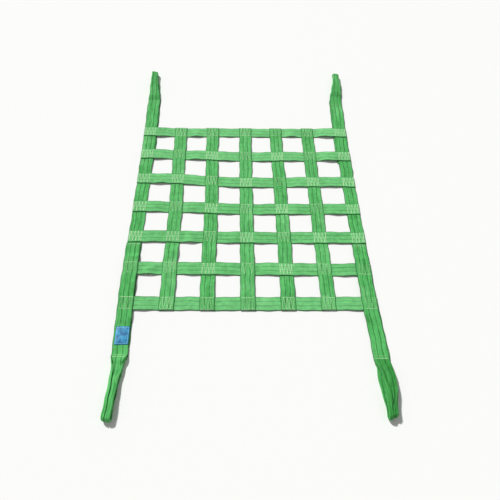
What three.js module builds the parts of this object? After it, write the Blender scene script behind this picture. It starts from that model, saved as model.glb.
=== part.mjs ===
// Cargo lifting net of flat woven webbing, laid out on a floor.
// Seven lengthwise and seven cross straps pass over and under each other and are sewn at every crossing.
// The two outer lengthwise straps run on past the mesh as four lifting legs, each ending in a folded eye.
// Millimetres, +X across the net, +Y towards its far end, +Z up, with the floor at z = 0.

import * as THREE from 'three';

const { lerp, smoothstep, degToRad } = THREE.MathUtils;

// Webbing
const STRAP_WIDTH = 60;
const STRAP_THICKNESS = 3;
const LAYER_GAP = 0.4; // clearance between two layers that are sewn together

// Mesh of the net
const STRAP_COUNT = 7; // each way
const PITCH = 160; // between the centre lines of neighbouring straps
const CROSSING_MARGIN = 6; // how far a strap stays level past the edge of the one it crosses
const SAG = 2; // dip of a strap between two crossings where it lies on top
const MESH_MIDDLE_X = -8; // the right-hand legs splay out, so the mesh lies left of the outline's middle

// Lifting legs
const SEWN_LEG = 195; // doubled part of a leg, from the mesh's edge to the stitch row at the eye's root
const LEG_LENGTH = 425; // from the mesh's edge to the eye's tip, as it was meant to be sewn
const TAIL_PAST_ROW = 15; // the far eye's tail lies underneath and ends this far past the second row
const TAIL_CLEARANCE = 4; // the near eye's tail lies on top and ends this far short of the fifth row

// Folded eyes
const EYE_INNER_RADIUS = 8; // inside of the bend at the tip
const EDGE_FOLD_RADIUS = 1.8; // centre line of the crease where an edge is turned in
const LEAST_TURN_IN = 7; // width of webbing in the crease where the turned edge begins
const EDGE_FOLD_RUN = 48; // length over which an edge turns from flat to folded
const LEAN_RUN = 110; // length over which an eye's upper layer comes to lean over
const SHIFT_RUN = 60; // length over which a tail comes back in line with its eye
const PARTING = -26; // where the layers start to part, as a distance past the stitch row

// Label
const LABEL_WIDTH = 52;
const LABEL_LENGTH = 74;
const LABEL_THICKNESS = 1;
const LABEL_CORNER = 3;
const LABEL_FROM_EDGE = 105; // from the mesh's edge to the label's middle

// How far each inner lengthwise strap lies to the right of its straight line, from left to right.
const INNER_LIE = [
  { far: -1, middle: 2, near: -2 },
  { far: -3, middle: 1, near: -3 },
  { far: -1, middle: -1, near: -1 },
  { far: -7, middle: -1, near: 0 },
  { far: -7, middle: -3, near: 1 },
];

// The same for the two outer straps, which also bend at the stitch rows and tips of their legs.
const OUTER_LIE = {
  left: { farTip: -8, farRow: 4, far: 7, middle: 3, near: -1, nearRow: 3, nearTip: -9 },
  right: { farTip: 28, farRow: 7, far: 1, middle: 3, near: 8, nearRow: 20, nearTip: 16 },
};

// How far each tail lies to the right of the strap that it is sewn to.
const TAIL_SHIFT = {
  left: { far: 4, near: -2 },
  right: { far: -6, near: -4 },
};

// How far each cross strap lies beyond its straight line, from the far to the near strap.
const CROSS_LIE = [
  { left: -4, middle: 1, right: 7 },
  { left: 5, middle: -4, right: 4 },
  { left: 11, middle: -9, right: 0 },
  { left: 5, middle: -6, right: -1 },
  { left: 3, middle: -1, right: 1 },
  { left: 4, middle: 1, right: -1 },
  { left: 2, middle: 1, right: 2 },
];

// Eyes: length of the leg, widths of the left and right edges that are turned in, where past the stitch row
// they start to turn, where their taper starts and ends, how far they close on the upper layer (180: flat),
// and how far that layer leans over, with its left edge up where the angle is below zero.
const EYES = {
  left: {
    far: { reach: 420, left: 16.5, right: 16.5, turnAt: 0, taper: [0, 205], closed: 170, lean: -10 },
    near: { reach: 425, left: 13.5, right: 20, turnAt: -22, taper: [-40, 115], closed: 172, lean: 0 },
  },
  right: {
    far: { reach: 434, left: 17, right: 17, turnAt: 50, taper: [90, 225], closed: 170, lean: -6 },
    near: { reach: 425, left: 20, right: 11, turnAt: 5, taper: [20, 200], closed: 130, lean: -8 },
  },
};

// How far the two layers of each eye stray to the right halfway along it.
const STRAY = {
  left: { far: { lower: 4, upper: 0 }, near: { lower: 0, upper: 0 } },
  right: { far: { lower: 5, upper: 0 }, near: { lower: -4, upper: 10 } },
};

const HALF_WIDTH = STRAP_WIDTH / 2;
const HALF_THICKNESS = STRAP_THICKNESS / 2;
const LAYER_STEP = STRAP_THICKNESS + LAYER_GAP;
const MESH_HALF = ((STRAP_COUNT - 1) / 2) * PITCH;
const MESH_EDGE = MESH_HALF + HALF_WIDTH;
const STITCH_ROW = MESH_EDGE + SEWN_LEG;
const LIE_SPAN = 2.5 * PITCH; // the lie tables hold in the middle and in the outermost row of holes
const LEVEL_REACH = HALF_WIDTH + CROSSING_MARGIN;
const LEVEL_STEP = 54; // longest step along a level run
const RAMP_STEPS = 6; // steps along a run between two levels
const BEND_STEPS = 9; // odd, so that one facet stands upright at the tip
const TIP_FACET_AT = (BEND_STEPS - 1) / 2 / BEND_STEPS; // where that facet begins, as a share of the bend
const CREASE_STEPS = 3; // facets round the crease of a turned edge
const TURNING_STEPS = 5; // steps along an eye where its edges turn in
const TAPER_STEPS = 4; // and from there to its tip

const EYE_OPENING = 2 * EYE_INNER_RADIUS + STRAP_THICKNESS; // between the layers' middles at the tip
const CREASE_WIDTH = Math.PI * EDGE_FOLD_RADIUS;
const FLAT_ANGLE = 0.02; // an edge that is not turned yet keeps a trace of its crease
const SECTION_MIDDLE = new THREE.Vector2();

const columnX = (column) => (column - 1) * PITCH - MESH_HALF;
const rowY = (row) => MESH_HALF - (row - 1) * PITCH;
const layerHeight = (layer) => HALF_THICKNESS + layer * LAYER_STEP;
const numbers = (count) => Array.from({ length: count }, (_, index) => index);

// Smooth run through a table's values at given places, level beyond the first and last of them.
function lieAt(place, knots) {
  let value = knots[0].value;
  for (let k = 1; k < knots.length; k += 1) {
    const share = smoothstep(place, knots[k - 1].at, knots[k].at);
    value += (knots[k].value - knots[k - 1].value) * share;
  }
  return value;
}

const crossKnots = ({ left, middle, right }) => [
  { at: -LIE_SPAN, value: left },
  { at: 0, value: middle },
  { at: LIE_SPAN, value: right },
];

const innerKnots = ({ far, middle, near }) => [
  { at: -LIE_SPAN, value: near },
  { at: 0, value: middle },
  { at: LIE_SPAN, value: far },
];

const outerKnots = (lie) => [
  { at: -MESH_EDGE - LEG_LENGTH, value: lie.nearTip },
  { at: -STITCH_ROW, value: lie.nearRow },
  ...innerKnots(lie),
  { at: STITCH_ROW, value: lie.farRow },
  { at: MESH_EDGE + LEG_LENGTH, value: lie.farTip },
];

const columnKnots = [
  outerKnots(OUTER_LIE.left),
  ...INNER_LIE.map(innerKnots),
  outerKnots(OUTER_LIE.right),
];
const rowKnots = CROSS_LIE.map(crossKnots);

// Where a lengthwise and a cross strap meet, measured along each of them.
const crossingX = (row, column) => columnX(column) + lieAt(rowY(row), columnKnots[column - 1]);
const crossingY = (row, column) => rowY(row) + lieAt(columnX(column), rowKnots[row - 1]);

const isOuter = (column) => column === 1 || column === STRAP_COUNT;

// Inner lengthwise straps lie over the end rows, and over and under in turn between them.
function lengthwiseIsOnTop(row, column) {
  return row === 1 || row === STRAP_COUNT || (row + column) % 2 === 0;
}

// A cross strap lies on the doubled outer strap in the first two rows, and on its single layer after that.
function crossLayer(row, column) {
  if (isOuter(column)) return row <= 2 ? 2 : 1;
  return lengthwiseIsOnTop(row, column) ? 0 : 1;
}

const flatStation = (y, z) => ({ y, z, shift: 0, lean: 0 });

const levelRun = (from, to, layer) => ({ from, to, layer });

const levelAcross = (middle, layer) => levelRun(middle - LEVEL_REACH, middle + LEVEL_REACH, layer);

// Centre line of a strap through level runs, with a smooth ramp or a sagging stretch between them.
function stationsThrough(runs) {
  const stations = [];
  runs.forEach((run, index) => {
    const length = Math.abs(run.to - run.from);
    const steps = Math.max(1, Math.ceil(length / LEVEL_STEP));
    for (let k = 0; k <= steps; k += 1) {
      stations.push(flatStation(lerp(run.from, run.to, k / steps), layerHeight(run.layer)));
    }
    const next = runs[index + 1];
    if (!next) return;
    const dip = run.layer === next.layer && run.layer > 0 ? SAG : 0;
    for (let k = 1; k < RAMP_STEPS; k += 1) {
      const share = k / RAMP_STEPS;
      const ramp = lerp(layerHeight(run.layer), layerHeight(next.layer), smoothstep(share, 0, 1));
      const height = ramp - dip * Math.sin(Math.PI * share) ** 2;
      stations.push(flatStation(lerp(run.to, next.from, share), height));
    }
  });
  return stations;
}

// Centre line of one turned edge in the strap's section, from the flat middle out to the free edge.
// x runs outwards, h runs away from the side that the edge is turned to, and (nx, nh) points out of the
// webbing, which is along h where it is flat.
function turnedEdge(turnIn, angle) {
  const start = HALF_WIDTH - turnIn;
  const radius = CREASE_WIDTH / angle;
  const points = numbers(CREASE_STEPS + 1).map((k) => {
    const turn = (angle * k) / CREASE_STEPS;
    return {
      x: start + radius * Math.sin(turn),
      h: radius * (Math.cos(turn) - 1),
      nx: Math.sin(turn),
      nh: Math.cos(turn),
    };
  });
  const crease = points[CREASE_STEPS];
  const flap = turnIn - CREASE_WIDTH;
  points.push({ ...crease, x: crease.x + flap * crease.nh, h: crease.h - flap * crease.nx });
  return points;
}

// Centre line of the whole section, from its left to its right edge.
function sectionLine(fold) {
  if (!fold) return [-HALF_WIDTH, HALF_WIDTH].map((x) => ({ x, h: 0, nx: 0, nh: 1 }));
  const left = turnedEdge(fold.left, fold.angle).map((p) => ({ ...p, x: -p.x, nx: -p.nx }));
  const right = turnedEdge(fold.right, fold.angle);
  return [...left.reverse(), ...right];
}

// How far a section reaches from its middle to the side of its turned edges, and how far sideways.
function foldDepth(fold) {
  return Math.max(...sectionLine(fold).map((p) => HALF_THICKNESS * Math.abs(p.nh) - p.h));
}

function sideReach(fold) {
  return Math.max(...sectionLine(fold).map((p) => Math.abs(p.x)));
}

// Fold of an eye at a distance past its stitch row, with its edges closed to an angle.
function foldAt(eye, past, closed) {
  const taper = smoothstep(past, ...eye.taper);
  return {
    left: lerp(LEAST_TURN_IN, eye.left, taper),
    right: lerp(LEAST_TURN_IN, eye.right, taper),
    angle: Math.max(FLAT_ANGLE, closed * smoothstep(past, eye.turnAt, eye.turnAt + EDGE_FOLD_RUN)),
  };
}

// Loop of an eye from its root, out along the lower layer, round the tip and back along the upper.
// Outward is 1 at the far end of the net and -1 at the near end. The edges are turned to the underside
// of the strap's main run, which is the inside of a far eye and the outside of a near one.
// The upper layer rises towards the open tip, and the layer of the tail starts out shifted sideways.
function eyeStations(eye, stray, outward, tailShift) {
  const insideDepth = (fold) => (outward > 0 ? foldDepth(fold) : HALF_THICKNESS);
  const outsideDepth = (fold) => (outward > 0 ? HALF_THICKNESS : foldDepth(fold));
  const tipFold = foldAt(eye, eye.reach - SEWN_LEG, Math.PI);
  const tipLift = sideReach(tipFold) * Math.abs(Math.sin(degToRad(eye.lean)));
  const tipRadius = (EYE_OPENING + tipLift) / 2;
  const bendAt = eye.reach - SEWN_LEG - tipRadius - outsideDepth(tipFold);

  const placeAt = (past, fold, isTail, strayed) => {
    const share = smoothstep(past, 0, bendAt);
    const tailAside = isTail ? tailShift * (1 - smoothstep(past, 0, SHIFT_RUN)) : 0;
    return {
      y: outward * (STITCH_ROW + past),
      z: outsideDepth(fold),
      fold,
      shift: tailAside + strayed * 4 * share * (1 - share),
      lean: 0,
    };
  };
  const lowerAt = (past) => placeAt(past, foldAt(eye, past, Math.PI), outward > 0, stray.lower);
  const upperAt = (past) => {
    const closed = lerp(degToRad(eye.closed), Math.PI, smoothstep(past, bendAt / 2, bendAt));
    const fold = foldAt(eye, past, closed);
    const below = lowerAt(past);
    const touching = insideDepth(below.fold) + LAYER_GAP + insideDepth(fold);
    const apart = lerp(touching, EYE_OPENING, smoothstep(past, PARTING, bendAt));
    const lean = degToRad(eye.lean) * smoothstep(past, 0, LEAN_RUN);
    const lift = sideReach(fold) * Math.abs(Math.sin(lean));
    const place = placeAt(past, fold, outward < 0, stray.upper);
    return { ...place, z: below.z + apart + lift, lean: outward * lean };
  };

  const turned = eye.turnAt + EDGE_FOLD_RUN;
  const places = [
    ...numbers(Math.ceil(eye.turnAt / LEVEL_STEP)).map((k) => k * LEVEL_STEP),
    ...numbers(TURNING_STEPS).map((k) => lerp(eye.turnAt, turned, k / TURNING_STEPS)),
    ...numbers(TAPER_STEPS + 1).map((k) => lerp(turned, bendAt, k / TAPER_STEPS)),
  ];
  const last = lowerAt(bendAt);
  const first = upperAt(bendAt);
  const radius = (first.z - last.z) / 2;
  const bend = numbers(BEND_STEPS - 1).map((k) => {
    const share = (k + 1) / BEND_STEPS;
    const turn = Math.PI * (share - 0.5);
    return {
      ...last,
      y: last.y + outward * radius * Math.cos(turn),
      z: last.z + radius * (1 + Math.sin(turn)),
      lean: first.lean * smoothstep(share, 0, TIP_FACET_AT),
    };
  });
  return [...places.map(lowerAt), ...bend, ...places.toReversed().map(upperAt)];
}

// One run of triangles between two rows of points, which may differ in number.
function joinRows(triangles, first, second) {
  let i = 0;
  let j = 0;
  while (i < first.length - 1 || j < second.length - 1) {
    const firstNext = (i + 1) / (first.length - 1);
    const secondNext = (j + 1) / (second.length - 1);
    if (i < first.length - 1 && (j === second.length - 1 || firstNext <= secondNext)) {
      triangles.push(first[i], second[j], first[i + 1]);
      i += 1;
    } else {
      triangles.push(first[i], second[j], second[j + 1]);
      j += 1;
    }
  }
}

// Closed body of a strap along its stations. Its sections stand across the strap's straight line,
// the lie and a station's own shift move them sideways, and a lean turns them about the strap.
function strapGeometry(stations, knots) {
  const positions = [];
  const triangles = [];
  const addPoint = (x, y, z) => positions.push(x, y, z) / 3 - 1;

  const sections = stations.map((station, index) => {
    const before = stations[Math.max(index - 1, 0)];
    const after = stations[Math.min(index + 1, stations.length - 1)];
    const normal = new THREE.Vector2(after.z - before.z, before.y - after.y).normalize();
    const middleX = lieAt(station.y, knots) + station.shift;
    const faceRow = (offset) => sectionLine(station.fold).map((p) => {
      const point = new THREE.Vector2(p.x + offset * p.nx, p.h + offset * p.nh);
      point.rotateAround(SECTION_MIDDLE, station.lean);
      return addPoint(middleX + point.x, station.y + point.y * normal.x, station.z + point.y * normal.y);
    });
    return { front: faceRow(HALF_THICKNESS), back: faceRow(-HALF_THICKNESS) };
  });

  const sides = ({ front, back }) => [
    front,
    [front.at(-1), back.at(-1)],
    back.toReversed(),
    [back[0], front[0]],
  ];
  for (let k = 1; k < sections.length; k += 1) {
    const current = sides(sections[k]);
    sides(sections[k - 1]).forEach((side, index) => joinRows(triangles, side, current[index]));
  }
  joinRows(triangles, sections[0].back, sections[0].front);
  joinRows(triangles, sections.at(-1).front, sections.at(-1).back);

  const geometry = new THREE.BufferGeometry();
  geometry.setAttribute('position', new THREE.Float32BufferAttribute(positions, 3));
  geometry.setIndex(triangles);
  geometry.computeVertexNormals();
  return geometry;
}

const webbing = () => new THREE.MeshStandardMaterial({ color: 0x5cb866, roughness: 0.85, metalness: 0 });

function namedMesh(name, geometry, material) {
  const mesh = new THREE.Mesh(geometry, material);
  mesh.name = name;
  return mesh;
}

// Inner lengthwise strap, cut off level with the outer edges of the first and last rows.
function lengthwiseStrap(column) {
  const rows = numbers(STRAP_COUNT).map((index) => STRAP_COUNT - index);
  const runs = rows.map((row) => {
    const layer = lengthwiseIsOnTop(row, column) ? 1 : 0;
    return levelAcross(crossingY(row, column), layer);
  });
  runs[0].from = crossingY(STRAP_COUNT, column) - HALF_WIDTH;
  runs.at(-1).to = crossingY(1, column) + HALF_WIDTH;
  const geometry = strapGeometry(stationsThrough(runs), columnKnots[column - 1]);
  const strap = namedMesh(`lengthwise_strap_${column}`, geometry, webbing());
  strap.position.x = columnX(column);
  return strap;
}

// Cross strap, built along its own line and turned across the net, cut off level with the outer straps.
function crossStrap(row) {
  const columns = numbers(STRAP_COUNT).map((index) => index + 1);
  const runs = columns.map((column) => levelAcross(crossingX(row, column), crossLayer(row, column)));
  runs[0].from = crossingX(row, 1) - HALF_WIDTH;
  runs.at(-1).to = crossingX(row, STRAP_COUNT) + HALF_WIDTH;
  const knots = rowKnots[row - 1].map(({ at, value }) => ({ at, value: -value }));
  const strap = namedMesh(`cross_strap_${row}`, strapGeometry(stationsThrough(runs), knots), webbing());
  strap.position.y = rowY(row);
  strap.rotation.z = -Math.PI / 2;
  return strap;
}

// Outer strap: far tail underneath, far eye, main run, near eye, and near tail on top of the last two rows.
function outerStrap(side) {
  const column = side === 'left' ? 1 : STRAP_COUNT;
  const farTailEnd = crossingY(2, column) - HALF_WIDTH - TAIL_PAST_ROW;
  const nearTailEnd = crossingY(5, column) - HALF_WIDTH - TAIL_CLEARANCE;
  const thirdRow = crossingY(3, column) + LEVEL_REACH;
  const sixthRow = levelAcross(crossingY(6, column), 2);
  const lastRow = levelAcross(crossingY(7, column), 2);
  const farTail = stationsThrough([levelRun(farTailEnd, STITCH_ROW - LEVEL_STEP / 2, 0)]);
  const mainRun = stationsThrough([
    levelRun(STITCH_ROW - LEVEL_STEP / 2, farTailEnd - CROSSING_MARGIN, 1),
    levelRun(thirdRow, LEVEL_STEP / 2 - STITCH_ROW, 0),
  ]);
  const nearTail = stationsThrough([
    levelRun(LEVEL_STEP / 2 - STITCH_ROW, lastRow.from - LEVEL_STEP, 1),
    lastRow,
    sixthRow,
    levelRun(sixthRow.to + LEVEL_REACH, nearTailEnd, 1),
  ]);
  const shift = TAIL_SHIFT[side];
  const stations = [
    ...farTail.map((station) => ({ ...station, shift: shift.far })),
    ...eyeStations(EYES[side].far, STRAY[side].far, 1, shift.far),
    ...mainRun,
    ...eyeStations(EYES[side].near, STRAY[side].near, -1, shift.near),
    ...nearTail.map((station) => ({ ...station, shift: shift.near })),
  ];
  const geometry = strapGeometry(stations, columnKnots[column - 1]);
  const strap = namedMesh(`outer_strap_${side}`, geometry, webbing());
  strap.position.x = columnX(column);
  return strap;
}

// Label with rounded corners, sewn on the upper layer of the near left leg.
function label() {
  const x = LABEL_WIDTH / 2;
  const y = LABEL_LENGTH / 2;
  const shape = new THREE.Shape();
  shape.moveTo(LABEL_CORNER - x, -y);
  shape.lineTo(x - LABEL_CORNER, -y);
  shape.quadraticCurveTo(x, -y, x, LABEL_CORNER - y);
  shape.lineTo(x, y - LABEL_CORNER);
  shape.quadraticCurveTo(x, y, x - LABEL_CORNER, y);
  shape.lineTo(LABEL_CORNER - x, y);
  shape.quadraticCurveTo(-x, y, -x, y - LABEL_CORNER);
  shape.lineTo(-x, LABEL_CORNER - y);
  shape.quadraticCurveTo(-x, -y, LABEL_CORNER - x, -y);
  const solid = { depth: LABEL_THICKNESS, bevelEnabled: false, curveSegments: 3 };
  const geometry = new THREE.ExtrudeGeometry(shape, solid);
  const material = new THREE.MeshStandardMaterial({ color: 0x4296bd, roughness: 0.45, metalness: 0 });
  const patch = namedMesh('label', geometry, material);
  const middleY = -MESH_EDGE - LABEL_FROM_EDGE;
  const legTop = layerHeight(1) + HALF_THICKNESS;
  patch.position.set(columnX(1) + lieAt(middleY, columnKnots[0]), middleY, legTop + LAYER_GAP);
  return patch;
}

const net = new THREE.Group();
net.position.x = MESH_MIDDLE_X;
net.add(outerStrap('left'), outerStrap('right'));
for (let column = 2; column < STRAP_COUNT; column += 1) net.add(lengthwiseStrap(column));
for (let row = 1; row <= STRAP_COUNT; row += 1) net.add(crossStrap(row));
net.add(label());

export default net;
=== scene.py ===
"""Cargo lifting net of flat woven webbing, laid out on a pale floor.

Straps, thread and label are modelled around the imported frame, in metres, with +Y towards the net's far end.
"""

import math
import random
from collections import namedtuple
from functools import partial

import bmesh
import bpy
import numpy as np
from bpy.props import FloatProperty, FloatVectorProperty, IntProperty, PointerProperty
from mathutils import Matrix, Vector


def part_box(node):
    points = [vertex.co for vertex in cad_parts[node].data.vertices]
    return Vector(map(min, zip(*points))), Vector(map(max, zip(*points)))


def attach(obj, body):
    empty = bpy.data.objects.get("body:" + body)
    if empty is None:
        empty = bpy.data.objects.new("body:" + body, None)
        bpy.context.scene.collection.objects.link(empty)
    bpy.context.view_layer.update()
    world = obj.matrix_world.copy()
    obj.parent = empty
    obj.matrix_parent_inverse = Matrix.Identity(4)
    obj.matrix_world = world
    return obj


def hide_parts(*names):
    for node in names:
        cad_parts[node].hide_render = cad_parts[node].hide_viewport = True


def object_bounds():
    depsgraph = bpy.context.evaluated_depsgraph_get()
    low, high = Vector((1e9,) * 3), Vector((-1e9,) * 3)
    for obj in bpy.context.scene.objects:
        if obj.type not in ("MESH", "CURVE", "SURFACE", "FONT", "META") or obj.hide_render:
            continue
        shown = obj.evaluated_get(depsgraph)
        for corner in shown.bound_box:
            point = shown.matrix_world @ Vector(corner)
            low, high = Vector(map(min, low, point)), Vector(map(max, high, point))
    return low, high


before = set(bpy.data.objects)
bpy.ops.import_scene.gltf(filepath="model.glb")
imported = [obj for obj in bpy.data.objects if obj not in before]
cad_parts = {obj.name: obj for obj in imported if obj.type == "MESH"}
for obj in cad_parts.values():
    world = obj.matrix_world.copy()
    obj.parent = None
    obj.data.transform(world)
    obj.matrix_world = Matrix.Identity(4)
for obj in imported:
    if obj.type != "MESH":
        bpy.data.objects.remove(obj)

bl_info = {
    "name": "Cargo lifting net",
    "version": (1, 0, 0),
    "blender": (4, 5, 0),
    "location": "3D View > Sidebar > Lifting net",
    "description": "Weaves and sews a lifting net of flat webbing on its packed frame",
    "category": "Object",
}

MM = 0.001
CAD_LOW, CAD_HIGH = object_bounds()
LABEL_LOW, LABEL_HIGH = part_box("label")

# Webbing and the mesh it is woven into, with the frame's own sizes
STRAP_WIDTH = 60 * MM
STRAP_THICKNESS = 3 * MM
LAYER_STEP = 3.4 * MM  # from one layer to the one that is sewn on it
STRAP_COUNT = 7
PITCH = 160 * MM
CROSSING_MARGIN = 6 * MM  # how far a strap stays level past the edge of the one it crosses
SAG = 2 * MM  # dip of a strap between two crossings where it lies on top
MESH_MIDDLE_X = -8 * MM

# Lifting legs and their folded eyes
SEWN_LEG = 195 * MM
LEG_LENGTH = 425 * MM
FAR_TAIL_ROW = 2  # the far tails lie underneath and end past this row
NEAR_TAIL_ROW = 5  # the near tails lie on top and end short of this row
TAIL_PAST_ROW = 15 * MM
TAIL_CLEARANCE = 4 * MM
EYE_INNER_RADIUS = 8 * MM
EDGE_FOLD_RADIUS = 1.8 * MM
LEAST_TURN_IN = 7 * MM
EDGE_FOLD_RUN = 48 * MM  # along the eye, from flat edges to folded ones
LEAN_RUN = 110 * MM  # along the eye, until its upper layer leans over in full
SHIFT_RUN = 60 * MM  # along the eye, until a tail is back in line with it
PARTING = -26 * MM  # where the eye's layers start to part, past the stitch row

# The tables are in millimetres, degrees and, for painted shade and thread, shares of one

# How far each inner lengthwise strap lies to the right of its straight line, from the left to the right one
InnerLie = namedtuple("InnerLie", "far middle near")
INNER_LIE = [
    InnerLie(-1, 2, -2),
    InnerLie(-3, 1, -3),
    InnerLie(-1, -1, -1),
    InnerLie(-7, -1, 0),
    InnerLie(-7, -3, 1),
]

# The same for the outer straps, which also bend at the stitch rows and tips of their legs
OuterLie = namedtuple("OuterLie", "far_tip far_row far middle near near_row near_tip")
OUTER_LIE = {
    "left": OuterLie(-8, 4, 7, 3, -1, 3, -9),
    "right": OuterLie(28, 7, 1, 3, 8, 20, 16),
}

# How far each cross strap lies beyond its straight line, from the far to the near one
CrossLie = namedtuple("CrossLie", "left middle right")
CROSS_LIE = [
    CrossLie(-4, 1, 7),
    CrossLie(5, -4, 4),
    CrossLie(11, -9, 0),
    CrossLie(5, -6, -1),
    CrossLie(3, -1, 1),
    CrossLie(4, 1, -1),
    CrossLie(2, 1, 2),
]

# How far the near edge of each cross strap lifts off the floor in the gaps between lengthwise straps
EdgeLift = namedtuple("EdgeLift", "gap_1 gap_2 gap_3 gap_4 gap_5 gap_6")
CROSS_LIFT = [
    EdgeLift(2, 7, 3, 2, 6, 6),
    EdgeLift(1, 5, 3, 2, 3, 6),
    EdgeLift(7, 1, 2, 1, 2, 4),
    EdgeLift(2, 1, 2, 1, 1, 4),
    EdgeLift(3, 6, 1, 1, 1, 2),
    EdgeLift(6, 2, 1, 1, 1, 2),
    EdgeLift(2, 1, 1, 1, 1, 1),
]

# The same for one edge of each inner lengthwise strap, from far to near: the right, or the left below zero
LENGTHWISE_LIFT = [
    EdgeLift(1, 1, 1, 1, 6, 3),
    EdgeLift(1, 1, 2, 1, 3, 3),
    EdgeLift(2, 1, 1, 2, 1, 1),
    EdgeLift(2, 1, 1, 1, 1, -1),
    EdgeLift(2, 2, 1, -1, -2, -2),
]

# And for the outer straps: on the main run past the second row, on the near leg, and on the near tail
OuterLift = namedtuple("OuterLift", "main leg last_gap tail_end")
OUTER_LIFT = {
    "left": OuterLift(3, 2, 5, 5),
    "right": OuterLift(3, -2, -4, -3),
}

# Creases left in the straps by folding and use, as soft ridges: where each lies along its strap and across it
# from the net's and the strap's middle, its half length and half width, its height, and its turn from the
# strap's line
Crease = namedtuple("Crease", "strap along across length width height turn")
CREASES = [
    Crease("cross_strap_1", 300, 4, 26, 8, 1.6, 70),
    Crease("cross_strap_1", 392, 2, 30, 9, 2.0, 62),
    Crease("cross_strap_2", 360, -6, 28, 7, 1.6, 40),
    Crease("cross_strap_2", 418, 4, 30, 8, 2.0, -50),
    Crease("cross_strap_2", 255, 0, 30, 7, 1.4, -38),
    Crease("cross_strap_3", -410, 8, 40, 8, 1.2, 12),
    Crease("cross_strap_4", -238, 0, 28, 8, 1.6, 84),
    Crease("cross_strap_6", -405, -4, 34, 6, 1.8, 38),
    Crease("cross_strap_6", -378, 6, 30, 6, 1.4, 44),
    Crease("cross_strap_7", -395, 8, 22, 8, 1.4, 60),
    Crease("lengthwise_strap_4", -330, 6, 36, 7, 1.2, -8),
    Crease("lengthwise_strap_6", 415, 0, 26, 7, 1.4, 50),
    Crease("outer_strap_left", 402, 0, 28, 9, 1.6, 65),
    Crease("outer_strap_right", 400, 4, 34, 8, 1.6, -40),
    Crease("outer_strap_right", -40, 0, 30, 8, 1.5, 82),
]

# How far each tail lies to the right of the strap that it is sewn to
TailShift = namedtuple("TailShift", "far near")
TAIL_SHIFT = {"left": TailShift(4, -2), "right": TailShift(-6, -4)}

FAR_LEFT, NEAR_LEFT = ("left", "far"), ("left", "near")
FAR_RIGHT, NEAR_RIGHT = ("right", "far"), ("right", "near")

# Eyes: length of the leg, widths of the edges that are turned in, where past the stitch row they start to
# turn, where their taper starts and ends, how far they close on the upper layer (180 is flat), how far that
# layer leans over, with its left edge up below zero, and how far the tip is rounded off at its sides
Eye = namedtuple("Eye", "reach left right turn_at taper_from taper_to closed lean crown")
EYES = {
    FAR_LEFT: Eye(420, 16.5, 16.5, 0, 0, 205, 170, -10, 3),
    NEAR_LEFT: Eye(425, 13.5, 20, -22, -40, 115, 172, 0, 5),
    FAR_RIGHT: Eye(434, 17, 17, 50, 90, 225, 170, -6, 6),
    NEAR_RIGHT: Eye(425, 20, 11, 5, 20, 200, 130, -8, 5),
}

# How far the two layers of each eye are darkened with painted shade, and over what length that starts past
# its root
Layers = namedtuple("Layers", "lower upper")
EYE_SHADE = {
    FAR_LEFT: Layers(0.0, 0.0),
    NEAR_LEFT: Layers(0.0, 0.0),
    FAR_RIGHT: Layers(0.15, 0.15),
    NEAR_RIGHT: Layers(0.2, 0.85),
}
EYE_SHADE_RUN = 14 * MM

# How far the two layers of each eye stray to the right halfway along it
STRAY = {
    FAR_LEFT: Layers(4, 0),
    NEAR_LEFT: Layers(0, 0),
    FAR_RIGHT: Layers(5, 0),
    NEAR_RIGHT: Layers(-4, 10),
}

# Row that closes the root of each eye: its place past the stitch row, and how pale its thread has stayed
RootRow = namedtuple("RootRow", "past pale")
ROOT_ROWS = {
    FAR_LEFT: RootRow(-6, 0.1),
    NEAR_LEFT: RootRow(-4, 0.9),
    FAR_RIGHT: RootRow(-6, 0.3),
    NEAR_RIGHT: RootRow(4, 0.9),
}

HALF_WIDTH = STRAP_WIDTH / 2
HALF_THICKNESS = STRAP_THICKNESS / 2
MESH_HALF = (STRAP_COUNT - 1) / 2 * PITCH
MESH_EDGE = MESH_HALF + HALF_WIDTH
STITCH_ROW = MESH_EDGE + SEWN_LEG
LIE_SPAN = 2.5 * PITCH  # the lie tables hold in the middle and in the outermost row of holes
LEVEL_REACH = HALF_WIDTH + CROSSING_MARGIN
LAYER_GAP = LAYER_STEP - STRAP_THICKNESS
EYE_OPENING = 2 * EYE_INNER_RADIUS + STRAP_THICKNESS  # between the layers' middles at the tip
CREASE_WIDTH = math.pi * EDGE_FOLD_RADIUS
FLAT_ANGLE = 0.02  # radians: an edge that is not turned yet keeps a trace of its crease

# How finely the cloth is divided
ROW_STEP = 6.5 * MM
TURNING_STEP = 4 * MM  # along an eye
LEG_END = -27 * MM  # where a leg's level run ends, past the stitch row
EYE_START = -24 * MM  # where an eye's own stations start
BEND_STEPS = 18  # round an eye's tip
LEAN_SHARE = 4 / 9  # of that bend, until it leans as far as the upper layer
CROWN_RUN = 45 * MM  # along the eye, until its tip is rounded off in full
TIP_HALF_WIDTH = 16 * MM
RIB_COLUMNS = [k * 3 * MM for k in range(-10, 11)]
MIDDLE_COLUMNS = [0, 3 * MM, 6 * MM]
CREASE_COLUMNS = [(8.75 + 1.25 * k) * MM for k in range(18)]
EYE_COLUMNS = sorted({sign * place for place in MIDDLE_COLUMNS + CREASE_COLUMNS for sign in (-1, 1)})
LABEL_COLUMNS, LABEL_ROWS = 13, 18
FLOOR_DROP = 0.5 * MM  # room for the thread under the net

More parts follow.
